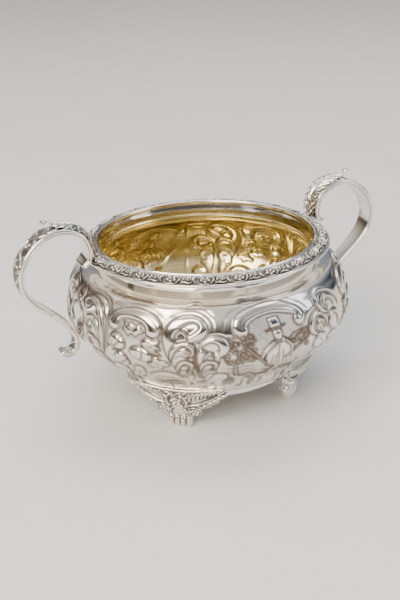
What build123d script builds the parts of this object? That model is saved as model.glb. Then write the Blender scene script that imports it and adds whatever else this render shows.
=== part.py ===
from build123d import *
import math
import os

# Footed two-handled sugar bowl in silver. Millimetres, +Z up.
# Origin: on the table, midway between the four feet. The handles lie along X.

# Body: one raised sheet
SHEET = 0.7                 # gauge of the sheet
BELLY_R = 81.8              # widest radius
BASE_R = 52.0               # where the belly meets the base ring
BASE_Z = 23.4
BOTTOM_R = 44.0             # flat bottom
BOTTOM_Z = 21.6
SHOULDER = (70.0, 81.8)     # where the belly ends and the neck begins
NECK_R = 60.8
NECK_Z = 88.6

# Lip, turned out, and the border cast for it
LIP_IN = (62.0, 95.4)       # top face of the lip, inner and outer ends
LIP_OUT = (69.4, 92.4)
LIP_UNDER = (62.4, 91.9)    # where the neck turns into the underside of the lip
CREST = (60.9, 96.2)        # rolled top of the lip, just inside the border
ROLL_END = (60.1, 94.6)     # where the roll meets the inner face
BORDER_R = 70.0
BORDER_TOP = 96.5
BORDER_EDGE_Z = 93.6
BORDER_OVERHANG = 0.5       # how far the border's edge hangs below the lip's

# Base ring
RING_OUT_R = 52.6
RING_IN_R = 48.6
RING_FOOT_Z = 20.0
RING_ROUND = 0.8

# Feet
FEET = {"back_right": 45.0, "back_left": 135.0, "front_left": 225.0, "front_right": 315.0}
PLATE_FRONT = [(62.8, 29.0), (58.4, 20.0), (54.6, 11.0), (52.6, 5.0)]   # front of the leaf plate
PLATE_T = 2.0
PLATE_TOP = 28.4            # height of the plate's top edge at the middle
WING = 26.0                 # half width of the plate
WING_TOP = 26.8
ROSETTE_R = 3.4             # the two small rosettes over the paw
ROSETTE_AT = (9.2, 9.8)
ANKLE = (6.0, 5.0)          # half width and height of the plate's lower end
WEB = [(44.0, 4.0), (47.0, 13.0), (47.4, 26.0), (58.0, 26.0), (54.8, 12.0), (51.0, 4.0)]
WEB_W = 6.4
PAW_OUT = 51.5              # front of the paw
PAW_IN = 42.0
PAW_W = 12.8
PAW_H = 6.5
TOES = 4
TOE_R = 2.0
TOE_Z = 1.8

# Handles
HANDLE_T = 3.5              # thickness seen from the side
STRAP_T = 1.1               # of which this much is the plain inner strap
HANDLE_FLANK = [(4.0, 38.0), (4.6, 62.0), (6.75, 108.0), (6.75, 125.0)]   # half width at each height

# Middle line of a handle seen from the side, from the curl on the rim to the lower scroll
HANDLE_LINE = [
    (75.4, 91.8),
    (71.6, 94.8),
    (70.4, 100.4),
    (72.8, 107.6),
    (79.6, 112.9),
    (88.4, 114.2),
    (97.2, 110.8),
    (104.6, 104.0),
    (108.9, 95.2),
    (109.0, 86.0),
    (104.4, 77.2),
    (96.6, 69.6),
    (89.2, 62.8),
    (84.0, 56.8),
    (81.4, 50.4),
    (82.8, 44.8),
    (86.8, 42.6),
    (90.6, 44.6),
]

# Leaf on top of a handle: its upper face, from its root on the border to its turned-up tip
LEAF_TOP = [(65.8, 95.8), (67.0, 102.4), (70.8, 111.2), (78.6, 116.6), (87.0, 118.2), (94.0, 121.4)]
LEAF_TIP_UNDER = (93.4, 119.8)
LEAF_LIFT = (88.0, 114.8)   # where the tip leaves the handle
LEAF_ROOT = (69.4, 95.0)
LEAF_W = 14.0

FAR = 120.0                 # reach of the cutting solids, past the whole object

os.makedirs("parts", exist_ok=True)


def save(part, name):
    """Label a finished piece and write it to its own file."""
    part.label = name
    export_step(part, f"parts/{name}.step")


def beside(points, distance):
    """Points moved sideways off a line through them, to the left of its travel when positive."""
    moved = []
    for index, (x, y) in enumerate(points):
        before = points[max(index - 1, 0)]
        after = points[min(index + 1, len(points) - 1)]
        run = math.hypot(after[0] - before[0], after[1] - before[1])
        step_x = distance * (after[1] - before[1]) / run
        step_y = distance * (after[0] - before[0]) / run
        moved.append((x - step_x, y + step_y))
    return moved


def radial_plane(degrees):
    """The upright plane through the axis at an angle: its x runs outward, its y up."""
    turn = math.radians(degrees)
    outward = (math.cos(turn), math.sin(turn), 0)
    return Plane(origin=(0, 0, 0), x_dir=outward, z_dir=(math.sin(turn), -math.cos(turn), 0))


# Outside of the sheet, from the flat bottom to the underside of the lip
BELLY = [
    (BOTTOM_R, BOTTOM_Z),
    (BASE_R, BASE_Z),
    (60.4, 27.4),
    (72.6, 40.0),
    (80.2, 50.6),
    (BELLY_R, 58.0),
    (80.3, 68.4),
    (76.2, 78.2),
    SHOULDER,
]
NECK = [SHOULDER, (64.8, 82.3), (61.6, 84.0), (NECK_R, NECK_Z), LIP_UNDER]
AT_SHOULDER = (-1, 0.06)    # direction of the section where belly and neck join

with BuildPart() as outside:
    with BuildSketch(Plane.XZ):
        with BuildLine():
            bottom = Line((0, BOTTOM_Z), BELLY[0])
            belly = Spline(BELLY, tangents=[(1, 0), AT_SHOULDER])
            neck = Spline(NECK, tangents=[AT_SHOULDER, (1, 0.9)])
            under = Spline([neck @ 1, (LIP_OUT[0], LIP_OUT[1] - SHEET)], tangents=[neck % 1, (1, -0.36)])
            edge = Line(under @ 1, LIP_OUT)
            top = Line(edge @ 1, LIP_IN)
            crest = Spline([top @ 1, CREST, ROLL_END], tangents=[top % 1, (0, -1)])
            Polyline(crest @ 1, (0, ROLL_END[1]), bottom @ 0)
        make_face()
    revolve(axis=Axis.Z)

with BuildPart() as hollow:
    with BuildSketch(Plane.XZ):
        with BuildLine():
            inner_neck = beside(NECK[:-1], SHEET)
            inner_belly = [(BOTTOM_R, BOTTOM_Z + SHEET)] + beside(BELLY, SHEET)[1:-1] + [inner_neck[0]]
            floor = Line((0, BOTTOM_Z + SHEET), inner_belly[0])
            side = Spline(inner_belly, tangents=[(1, 0), AT_SHOULDER])
            throat = Spline(inner_neck, tangents=[AT_SHOULDER, (0, 1)])
            Polyline(throat @ 1, ROLL_END, (0, ROLL_END[1]), floor @ 0)
        make_face()
    revolve(axis=Axis.Z)

with BuildPart() as bowl_body:
    add(outside.part)
    add(hollow.part, mode=Mode.SUBTRACT)
save(bowl_body.part, "bowl_body")

# Base ring: a plain wire let up against the belly
with BuildPart() as base_ring:
    ring_top = BASE_Z + RING_ROUND
    with BuildSketch(Plane.XZ):
        with Locations(((RING_IN_R + RING_OUT_R) / 2, (RING_FOOT_Z + ring_top) / 2)):
            Rectangle(RING_OUT_R - RING_IN_R, ring_top - RING_FOOT_Z)
    revolve(axis=Axis.Z)
    fillet(base_ring.edges().group_by(Axis.Z)[0], RING_ROUND)
    add(outside.part, mode=Mode.SUBTRACT)
save(base_ring.part, "base_ring")


def border_length(middle):
    """A quarter of the cast border, lying on top of the lip, centred on an angle."""
    with BuildPart() as length:
        with BuildSketch(radial_plane(middle - 45.0)):
            with BuildLine():
                inner_edge = Line(LIP_IN, (LIP_IN[0], BORDER_TOP - 0.6))
                crown = Spline(
                    [inner_edge @ 1, (64.6, BORDER_TOP), (BORDER_R, BORDER_EDGE_Z)],
                    tangents=[(1, 0.8), (0.35, -1)],
                )
                hem = LIP_OUT[1] - BORDER_OVERHANG
                Polyline(crown @ 1, (BORDER_R, hem), (LIP_OUT[0], hem), LIP_OUT, LIP_IN)
            make_face()
        revolve(axis=Axis.Z, revolution_arc=90.0)
    return length.part


borders = {side: border_length(90.0 * index) for index, side in enumerate(["right", "back", "left", "front"])}
for side, length in borders.items():
    save(length, f"rim_border_{side}")


def foot_plate(section, facing):
    """The leaf plate: a turned skirt, kept only inside the outline of wings, rosettes and ankle."""
    with BuildPart() as plate:
        with BuildSketch(section):
            with BuildLine():
                front = Spline(PLATE_FRONT)
                back = Spline([(x - PLATE_T, z) for x, z in reversed(PLATE_FRONT)])
                Line(front @ 1, back @ 0)
                Line(back @ 1, front @ 0)
            make_face()
        revolve(axis=Axis.Z)
        with BuildSketch(facing):
            for hand in (1, -1):
                with BuildLine():
                    Line((0, PLATE_TOP), (hand * WING, WING_TOP))
                    Spline([(hand * WING, WING_TOP), (hand * WING, 22.6), (hand * 21.0, 17.6)])
                    Spline([(hand * 21.0, 17.6), (hand * 15.0, 13.6), (hand * 9.0, 12.6)])
                    Polyline((hand * 9.0, 12.6), (hand * ANKLE[0], ANKLE[1]), (0, ANKLE[1]), (0, PLATE_TOP))
                make_face()
                with Locations((hand * ROSETTE_AT[0], ROSETTE_AT[1])):
                    Circle(ROSETTE_R)
        extrude(amount=FAR, mode=Mode.INTERSECT)
    return plate.part


def foot(angle):
    """A cast foot: the leaf plate that laps the belly, a web behind it, and a paw with its toes."""
    section = radial_plane(angle)
    facing = Plane(origin=(0, 0, 0), x_dir=-section.z_dir, z_dir=section.x_dir)
    plate = foot_plate(section, facing)
    paw_middle = section.x_dir * (PAW_OUT + PAW_IN - TOE_R) / 2
    with BuildPart() as casting:
        add(plate)
        with BuildSketch(section):
            with BuildLine():
                Polyline(WEB, close=True)
            make_face()
        extrude(amount=WEB_W / 2, both=True)
        with BuildSketch(Plane(origin=paw_middle, x_dir=section.x_dir, z_dir=(0, 0, 1))):
            Rectangle(PAW_OUT - PAW_IN - TOE_R, PAW_W - TOE_R)
        extrude(amount=PAW_H)
        with BuildSketch(facing.offset(PAW_IN)):
            with GridLocations(PAW_W / TOES, 1, TOES, 1):
                with Locations((0, TOE_Z)):
                    Circle(TOE_R)
        extrude(amount=PAW_OUT - TOE_R - PAW_IN)
        with Locations(facing.offset(PAW_OUT - TOE_R)):
            with GridLocations(PAW_W / TOES, 1, TOES, 1):
                with Locations((0, TOE_Z)):
                    Sphere(TOE_R)
        split(bisect_by=Plane.XY)
        add(outside.part, mode=Mode.SUBTRACT)
        add(base_ring.part, mode=Mode.SUBTRACT)
    return casting.part


for name, angle in FEET.items():
    save(foot(angle), f"foot_{name}")


def trimmed_slab(side_view, first, second, taper, border):
    """The part of a handle between two lines of its side view, narrowed and fitted to body and border."""
    with BuildPart() as slab:
        with BuildSketch(side_view):
            with BuildLine():
                one = Spline(first)
                two = Spline(second)
                Line(one @ 0, two @ 0)
                Line(one @ 1, two @ 1)
            make_face()
        extrude(amount=HANDLE_FLANK[-1][0], both=True)
        add(taper, mode=Mode.INTERSECT)
        add(outside.part, mode=Mode.SUBTRACT)
        add(border, mode=Mode.SUBTRACT)
    return slab.part


def handle(hand, border):
    """One handle at hand (1 right, -1 left): the cast outer half, the inner strap and the leaf."""
    side_view = Plane(origin=(0, 0, 0), x_dir=(hand, 0, 0), z_dir=(0, -hand, 0))
    outer_line = beside(HANDLE_LINE, HANDLE_T / 2)
    seam_line = beside(HANDLE_LINE, STRAP_T - HANDLE_T / 2)
    inner_line = beside(HANDLE_LINE, -HANDLE_T / 2)
    with BuildPart() as taper:
        with BuildSketch(Plane.YZ):
            with BuildLine():
                flank = Spline(HANDLE_FLANK[:-1])
                top = HANDLE_FLANK[-1]
                Polyline(flank @ 1, top, (0, top[1]), (0, HANDLE_FLANK[0][1]), flank @ 0)
            make_face()
            mirror(about=Plane.YZ)
        extrude(amount=hand * FAR)
    outer = trimmed_slab(side_view, outer_line, seam_line, taper.part, border)
    strap = trimmed_slab(side_view, seam_line, inner_line, taper.part, border)
    with BuildPart() as leaf:
        with BuildSketch(side_view):
            with BuildLine():
                upper = Spline(LEAF_TOP)
                tip = Line(upper @ 1, LEAF_TIP_UNDER)
                under = Spline([tip @ 1, LEAF_LIFT], tangents=[(-0.5, -1), (-1, -0.1)])
                Polyline(under @ 1, HANDLE_LINE[4], HANDLE_LINE[3], HANDLE_LINE[2], LEAF_ROOT, upper @ 0)
            make_face()
        extrude(amount=LEAF_W / 2, both=True)
        add(outer, mode=Mode.SUBTRACT)
        add(strap, mode=Mode.SUBTRACT)
        add(border, mode=Mode.SUBTRACT)
    return {"outer": outer, "strap": strap, "leaf": leaf.part}


for name, hand in (("right", 1), ("left", -1)):
    for piece, shape in handle(hand, borders[name]).items():
        save(shape, f"handle_{name}_{piece}")
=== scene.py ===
import math

import bmesh
import bpy
import numpy as np
from mathutils import Matrix, Vector


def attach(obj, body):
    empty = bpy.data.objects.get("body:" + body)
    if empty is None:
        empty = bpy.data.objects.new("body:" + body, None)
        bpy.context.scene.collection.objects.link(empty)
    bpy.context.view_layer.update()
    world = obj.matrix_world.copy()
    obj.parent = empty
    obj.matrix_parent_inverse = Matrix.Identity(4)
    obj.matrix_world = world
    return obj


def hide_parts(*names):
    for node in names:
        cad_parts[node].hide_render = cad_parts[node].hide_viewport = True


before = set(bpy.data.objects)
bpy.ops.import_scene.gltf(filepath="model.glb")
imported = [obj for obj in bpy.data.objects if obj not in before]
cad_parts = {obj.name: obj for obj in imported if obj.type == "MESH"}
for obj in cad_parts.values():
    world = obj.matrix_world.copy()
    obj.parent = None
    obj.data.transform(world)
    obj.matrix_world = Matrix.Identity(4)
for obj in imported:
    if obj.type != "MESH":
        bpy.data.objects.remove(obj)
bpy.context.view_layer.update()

MM = 0.001

# Driving dimensions in mm, as the silversmith's drawing has them. Points of a section are distance
# from the bowl's axis and height. Angles round the bowl are in degrees from the middle of the front,
# positive towards the right handle.
SHOULDER = (70.0, 81.8)
BELLY = [
    SHOULDER, (76.2, 78.2), (80.3, 68.4), (81.8, 58.0), (80.2, 50.6), (72.6, 40.0), (60.4, 27.4),
    (52.0, 23.4), (44.0, 21.6),
]
NECK = [(62.4, 91.9), (60.8, 88.6), (61.6, 84.0), (64.8, 82.3), SHOULDER]
ACROSS_SHOULDER = (1.0, -0.06)
DOWN_NECK = (-0.67, -0.6)
LIP_IN = (62.0, 95.4)
LIP_OUT = (69.4, 92.4)
LIP_EDGE = 0.7
LIP_ROOT = (66.0, 91.75)        # where the lip's underside leaves the neck
BEAD = (61.7, 95.5)             # middle of the bead inside the border
BEAD_R = 0.85
GILT_LINE_Z = 86.3              # how high the gilding comes up inside the neck

SHEET_THIN = 0.35               # silver in front of the gilding, on the neck and on the belly
SHEET_DEEP = 2.1
GILDING = 0.3
DEEPEST = 1.85                  # no chased line goes deeper than this
GROUND = 1.5                    # how far the chased ground is sunk below the tops of the leaves

GIRTH_R = 80.0                  # radius at which the ornament is drawn out flat
MM_PER_DEGREE = GIRTH_R * math.pi / 180.0
CHASING_STEP = 0.25             # fineness of the drawn chasing, and of the ornament on the castings
CASTING_STEP = 0.15
CASTING_SOFT = 0.16             # rounding of a casting's ornament
CHASED_TO = 52.0                # mm down from the shoulder, below which the mesh is coarser
SILVER_COLUMNS = 690
GILT_COLUMNS = 600

BORDER_OUT_R = 70.0
BORDER_MIDDLE_R = 66.0
BORDER_CROWN = [(62.0, 95.9), (64.6, 96.5), (BORDER_OUT_R, 93.6)]
BORDER_FLOWERS = 6              # flowers in a quarter of the border

PLATE_FRONT = [(62.8, 29.0), (58.4, 20.0), (54.6, 11.0), (52.6, 5.0)]
PLATE_LOW = 7.4
PLATE_TOP = 29.0
PLATE_PROUD = 0.8               # how far the plate stands off the belly that it laps
WING_RISE = 1.9                 # how much higher the wings end than the middle
PLATE_EDGE = [                  # height and half width of the leaf plate, rosettes and ankle
    (7.4, 6.0), (7.8, 8.6), (8.4, 11.8), (9.4, 13.2), (10.6, 13.4), (11.8, 12.9), (12.8, 13.8),
    (14.0, 16.4), (16.0, 19.8), (18.4, 23.0), (20.8, 25.8), (23.4, 28.2), (26.0, 29.0), (31.0, 28.8),
]
FOOT_MIDDLE = 31.0              # middle and foot of the sheet that the foot's ornament is drawn on
FOOT_LOW = 4.0
WEB = [(44.6, 1.0), (46.6, 12.0), (47.2, 21.4), (57.4, 24.6), (55.0, 14.0), (51.0, 8.0), (48.0, 1.0)]
WEB_HALF = 3.2
PAW = [(43.0, 0.0), (43.6, 6.0), (47.0, 9.4), (50.8, 9.2), (49.0, 5.0), (48.6, 0.0)]
PAW_HALF = 5.6
TOES = (-5.1, -1.7, 1.7, 5.1)
TOE_AT = (49.4, 3.6)
TOE_SIZE = (4.1, 1.78, 5.0)

HANDLE_T = 3.5
STRAP_T = 1.1
HANDLE_LINE = [
    (75.4, 91.8), (71.6, 94.8), (70.4, 100.4), (72.8, 107.6), (79.6, 112.9), (88.4, 114.2),
    (97.2, 110.8), (104.6, 104.0), (108.9, 95.2), (109.0, 86.0), (104.4, 77.2), (96.6, 69.6),
    (89.2, 62.8), (84.0, 56.8), (81.4, 50.4), (82.8, 44.8), (86.8, 42.6), (90.6, 44.6),
]
HANDLE_FLANK = [(38.0, 4.0), (62.0, 4.6), (85.0, 5.9), (108.0, 6.75), (125.0, 6.75)]  # height, half width
SCROLL_W = 14.0                 # width of the sheet that the handle's scrolls are drawn on
SCROLL_PITCH = 13.0
SCROLLS_END = (120.0, 136.0)    # where along the handle they die away
LEAF_TOP = [(65.8, 95.8), (67.0, 102.4), (70.8, 111.2), (78.6, 116.6), (87.0, 118.2), (94.0, 121.4)]
LEAF_W = 14.0
LEAFLET_PITCH = 4.6

rng = np.random.default_rng(7)


# ---------------------------------------------------------------- lines

def spline(points, start=None, end=None, count=200):
    """A smooth line through points. start and end are its directions there."""
    p = np.array(points, float)
    run = np.linalg.norm(np.diff(p, axis=0), axis=1)
    size = len(p)
    system = np.zeros((size, size))
    target = np.zeros_like(p)
    for i in range(1, size - 1):
        system[i, i - 1:i + 2] = run[i], 2 * (run[i - 1] + run[i]), run[i - 1]
        target[i] = 3 * (run[i] * (p[i] - p[i - 1]) / run[i - 1] + run[i - 1] * (p[i + 1] - p[i]) / run[i])
    for row, near, span, way in ((0, 1, run[0], start), (size - 1, size - 2, run[-1], end)):
        if way is None:
            system[row, row] = 2
            system[row, near] = 1
            target[row] = 3 * (p[near] - p[row]) / (span if row == 0 else -span)
        else:
            system[row, row] = 1
            target[row] = np.array(way, float) / np.linalg.norm(way)
    slope = np.linalg.solve(system, target)
    at = np.linspace(0, np.r_[0, np.cumsum(run)][-1], count)
    return hermite(p, slope, run, at)


def hermite(p, slope, run, at):
    """Places on the cubic pieces between points, at distances along them."""
    knots = np.r_[0, np.cumsum(run)]
    i = np.clip(np.searchsorted(knots, at, side="right") - 1, 0, len(run) - 1)
    h = run[i][:, None]
    t = ((at - knots[i]) / run[i])[:, None]
    return (
        (2 * t**3 - 3 * t**2 + 1) * p[i] + (t**3 - 2 * t**2 + t) * h * slope[i]
        + (3 * t**2 - 2 * t**3) * p[i + 1] + (t**3 - t**2) * h * slope[i + 1]
    )


def lengths(line):
    """Distance along a line at each of its points."""
    return np.r_[0, np.cumsum(np.linalg.norm(np.diff(line, axis=0), axis=1))]


def follow(at, far, line):
    """Places at distances along a line, whose own points are far along it."""
    return np.stack([np.interp(at, far, line[:, k]) for k in range(line.shape[1])], axis=-1)


def even(line, count):
    """A line with points at even distances."""
    far = lengths(line)
    return follow(np.linspace(0, far[-1], count), far, line)


def directions(line, far):
    """The way a line runs at each of its points."""
    way = np.gradient(line, far, axis=0)
    return way / np.linalg.norm(way, axis=1)[:, None]


def square_to(way):
    """The way a section faces where its line runs along way."""
    return np.stack([-way[..., 1], way[..., 0]], axis=-1)


def round_angles(count):
    """Angles evenly round a full turn."""
    return np.linspace(0, 2 * math.pi, count, endpoint=False)


def rounded(points, closed=False, pieces=6):
    """A flowing line through the points of an ornament, closed or open."""
    p = np.array(points, float)
    if closed:
        a, b, c, d = (np.roll(p, -k, axis=0) for k in (-1, 0, 1, 2))
    else:
        padded = np.vstack([2 * p[0] - p[1], p, 2 * p[-1] - p[-2]])
        a, b, c, d = padded[:-3], padded[1:-2], padded[2:-1], padded[3:]
    t = np.linspace(0.0, 1.0, pieces, endpoint=False)[:, None, None]
    flow = 0.5 * (
        2 * b + (c - a) * t + (2 * a - 5 * b + 4 * c - d) * t**2 + (3 * b - a - 3 * c + d) * t**3
    )
    flow = flow.transpose(1, 0, 2).reshape(-1, 2)
    return flow if closed else np.vstack([flow, p[-1]])


def ease(value, low, high):
    """0 below low, 1 above high, and smooth between."""
    t = np.clip((value - low) / (high - low), 0, 1)
    return t * t * (3 - 2 * t)


# ---------------------------------------------------------------- drawn ornament

class Ornament:
    """Chasing drawn flat, in mm. high is its height, dark the tarnish left in it and matted the punched
    ground. place, where it is set, turns the points that are drawn into places on the sheet."""

    def __init__(self, width, length, step, wraps):
        self.wraps = wraps
        self.place = list
        self.columns = int(round(width / step))
        self.step = width / self.columns
        self.rows = int(round(length / self.step)) + 1
        self.high = np.zeros((self.rows, self.columns))
        self.dark = np.zeros((self.rows, self.columns))
        self.matted = np.zeros((self.rows, self.columns))

    def window(self, points, reach):
        """The places near some points, and where they are in the fields."""
        low = (points.min(0) - reach) / self.step
        high = (points.max(0) + reach) / self.step
        columns = np.arange(int(math.floor(low[0])), int(math.ceil(high[0])) + 1)
        rows = np.arange(max(int(low[1]), 0), min(int(high[1]) + 2, self.rows))
        if not self.wraps:
            columns = columns[(columns >= 0) & (columns < self.columns)]
        x, y = np.meshgrid(columns * self.step, rows * self.step)
        return x, y, np.ix_(rows, columns % self.columns)

    def groove(self, gap, at, depth, width=0.52):
        """A chased line where gap is nought, with the tarnish that polishing leaves in it."""
        line = np.exp(-((gap / width) ** 2))
        self.high[at] -= 0.4 * depth * line
        self.dark[at] = np.maximum(self.dark[at], depth * line)

    def raise_to(self, inside, gap, shape, at, outline):
        """A shape laid over what is there, with a chased outline."""
        self.high[at] = np.where(inside, shape, self.high[at])
        self.matted[at] = np.where(inside, 0, self.matted[at])
        self.dark[at] = np.where(inside, self.dark[at] * 0.1, self.dark[at])
        self.groove(gap, at, outline)

    def band(self, points, widths, rise, level=0.0, outline=0.8):
        """A raised, rounded band whose width changes along it."""
        line = rounded(self.place(points))
        halves = np.interp(np.linspace(0, 1, len(line)), np.linspace(0, 1, len(widths)), widths) / 2
        x, y, at = self.window(line, max(widths) / 2 + 1.2)
        d, half = off_line(x, y, line, halves)
        crown = np.sqrt(1 - np.clip(d / np.maximum(half, 1e-3), 0, 1) ** 2)
        self.raise_to(d < half, d - half, level + rise * crown, at, outline)

    def pad(self, points, rise, soft=2.5, level=0.0, outline=0.8, sharp=False):
        """A closed shape raised like a cushion, or sunk where rise is negative."""
        points = self.place(points)
        ring = np.array(points, float) if sharp else rounded(points, closed=True)
        x, y, at = self.window(ring, 1.2)
        d = off_ring(x, y, ring)
        crown = np.sqrt(1 - (1 - np.clip(d / soft, 0, 1)) ** 2)
        self.raise_to(d > 0, d, level + rise * crown, at, outline)

    def cut(self, points, width=0.5, depth=0.8):
        """A chased line that runs out at both ends."""
        line = rounded(self.place(points))
        x, y, at = self.window(line, 1.5)
        t = np.linspace(0, 1, len(line))
        halves = width / 2 * np.clip(6 * np.minimum(t, 1 - t) + 0.3, 0, 1)
        d, half = off_line(x, y, line, halves)
        line_shape = np.exp(-((d / np.maximum(half * 1.7, 0.18)) ** 2))
        self.high[at] -= 0.42 * depth * line_shape
        self.dark[at] = np.maximum(self.dark[at], depth * line_shape)

    def matting(self, points, amount=1.0, sunk=0.15):
        """Ground roughened all over with a matting punch."""
        ring = rounded(self.place(points), closed=True)
        x, y, at = self.window(ring, 1.0)
        d = off_ring(x, y, ring)
        self.matted[at] = np.maximum(self.matted[at], amount * np.clip(d / 0.5, 0, 1))
        self.high[at] -= sunk * np.clip(d / 1.5, 0, 1)

    def soften(self, field, reach):
        """A field blurred over reach mm."""
        sigma = reach / self.step
        far = int(3 * sigma) + 1
        weights = np.exp(-0.5 * (np.arange(-far, far + 1) / sigma) ** 2)
        weights /= weights.sum()
        wide = np.pad(field, ((0, 0), (far, far)), mode="wrap" if self.wraps else "edge")
        field = sum(w * wide[:, i:i + self.columns] for i, w in enumerate(weights))
        wide = np.pad(field, ((far, far), (0, 0)), mode="edge")
        return sum(w * wide[i:i + self.rows] for i, w in enumerate(weights))

    def read(self, field, x, y):
        """A field at places x, y in mm."""
        column = x / self.step
        row = np.clip(y / self.step, 0, self.rows - 1.001)
        if not self.wraps:
            column = np.clip(column, 0, self.columns - 1.001)
        c0 = np.floor(column).astype(int)
        r0 = np.floor(row).astype(int)
        fc, fr = column - c0, row - r0
        c1 = (c0 + 1) % self.columns
        c0 = c0 % self.columns
        return (
            field[r0, c0] * (1 - fc) * (1 - fr) + field[r0, c1] * fc * (1 - fr)
            + field[r0 + 1, c0] * (1 - fc) * fr + field[r0 + 1, c1] * fc * fr
        )


def off_line(x, y, line, halves):
    """Distance from a line, and half the line's width at the nearest place."""
    best = np.full(x.shape, 1e9)
    half = np.zeros(x.shape)
    for (x0, y0), (x1, y1), h0, h1 in zip(line[:-1], line[1:], halves[:-1], halves[1:]):
        dx, dy = x1 - x0, y1 - y0
        t = np.clip(((x - x0) * dx + (y - y0) * dy) / max(dx * dx + dy * dy, 1e-9), 0, 1)
        d = np.hypot(x - x0 - t * dx, y - y0 - t * dy)
        h = h0 + t * (h1 - h0)
        nearer = d - h < best - half
        best = np.where(nearer, d, best)
        half = np.where(nearer, h, half)
    return best, half


def off_ring(x, y, ring):
    """Distance from a closed line, positive inside it."""
    d, _ = off_line(x, y, np.vstack([ring, ring[:1]]), np.zeros(len(ring) + 1))
    inside = np.zeros(x.shape, bool)
    for (x0, y0), (x1, y1) in zip(ring, np.roll(ring, -1, axis=0)):
        if y0 == y1:
            continue
        inside ^= ((y0 > y) != (y1 > y)) & (x < x0 + (y - y0) * (x1 - x0) / (y1 - y0))
    return np.where(inside, d, -d)


def flower(o, x, y, petals, petal, spread, rise, soft, boss, turn):
    """An open flower: a ring of round petals about a raised boss (radius, rise, softness)."""
    for k in range(petals):
        a = 2 * math.pi * (k + turn) / petals
        disc(o, x + spread * math.cos(a), y + spread * math.sin(a), petal, rise, soft)
    disc(o, x, y, *boss)


def disc(o, x, y, radius, rise, soft):
    """A small round cushion."""
    o.pad([(x + radius * math.cos(b), y + radius * math.sin(b)) for b in round_angles(6)], rise, soft=soft)


# ---------------------------------------------------------------- the chased belly
# Half the girth, drawn once. Points are degrees from the middle of the front and mm down from the
# shoulder.

def tall_leaf(o):
    """The half leaf that stands beside a handle."""
    o.pad([(-68.6, 31), (-68.2, 18), (-68.6, 9), (-71.5, 4.6), (-77, 3.2), (-82, 5.5), (-85, 9),
        (-83, 15), (-81, 20), (-80.5, 26), (-77, 33), (-72, 38)], 0.5, soft=3.5)
    for line, widths in (
        ([(-70.5, 36), (-70.3, 26), (-71.5, 15), (-75, 8.5), (-80, 7), (-83.2, 9.2), (-81.8, 12.4),
          (-79.4, 11.4)], [1.6, 3.6, 4.2, 3.4, 2.8, 2.4, 2.0, 1.2]),
        ([(-71, 30), (-72.4, 22), (-75.4, 17.6), (-79.2, 18), (-80.6, 22), (-78.4, 24.6),
          (-76.6, 22.6)], [1.2, 3.0, 3.4, 3.0, 2.4, 2.0, 1.2]),
        ([(-71.4, 36), (-73, 30), (-76, 27.4), (-79.4, 30), (-78.6, 34), (-76.4, 33)],
          [1.2, 2.8, 3.2, 2.6, 2.2, 1.2]),
        ([(-71.6, 46), (-73.4, 39.5), (-77, 38), (-79.4, 41.6), (-77.6, 44.6)],
          [1.2, 3.0, 3.0, 2.2, 1.4]),
    ):
        o.band(line, widths, 0.55, level=0.3)
    o.cut([(-67.4, 33), (-67.0, 20), (-67.2, 9), (-70.4, 2.8), (-77, 1.2)])
    o.band([(-88, 4), (-86.8, 8), (-88.4, 12.5), (-92, 14.6)], [1.4, 2.6, 2.8, 1.6], 0.5)
    o.band([(-87, 16), (-84.4, 18.6), (-84.6, 23), (-88, 26)], [1.4, 2.4, 2.6, 1.6], 0.5)
    o.band([(-92, 40), (-87, 34), (-84, 30), (-85.6, 27)], [2.4, 3.0, 2.4, 1.4], 0.5)


def fruit_scroll(o):
    """The C scroll that frames the fruit."""
    o.matting([(-64, 20), (-60, 12), (-54, 11), (-50, 14), (-46, 20), (-42.6, 22), (-41, 32), (-40, 41),
        (-50, 42), (-56, 44), (-62, 44), (-67, 38), (-67.4, 26)], amount=0.5)
    o.pad([(-66.8, 14.6), (-65.2, 9.2), (-60.6, 5.4), (-55, 4), (-49.8, 4.8), (-45.4, 7.8), (-42.9, 12.4),
        (-43.6, 17.2), (-46.6, 19.6), (-49.4, 18.0), (-49.8, 14.6), (-51.6, 12.4), (-55.4, 11.2),
        (-59, 11.4), (-61.4, 13.2), (-61.2, 16.6), (-63.2, 19), (-65.8, 18)], 1.0, soft=3.4)
    o.cut([(-64.4, 15), (-62.6, 10.4), (-58, 7.4), (-53, 6.8), (-48.6, 8.6), (-45.6, 12.6), (-45.6, 16)],
        width=0.8, depth=0.45)
    o.cut([(-61.5, 2.8), (-55, 1.6), (-49, 2.6), (-44.4, 5.6), (-41.7, 9.0)])
    o.cut([(-62, 4.4), (-55, 2.9), (-49.4, 3.9), (-45.2, 6.8), (-42.4, 10.6)], depth=0.5)


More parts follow.
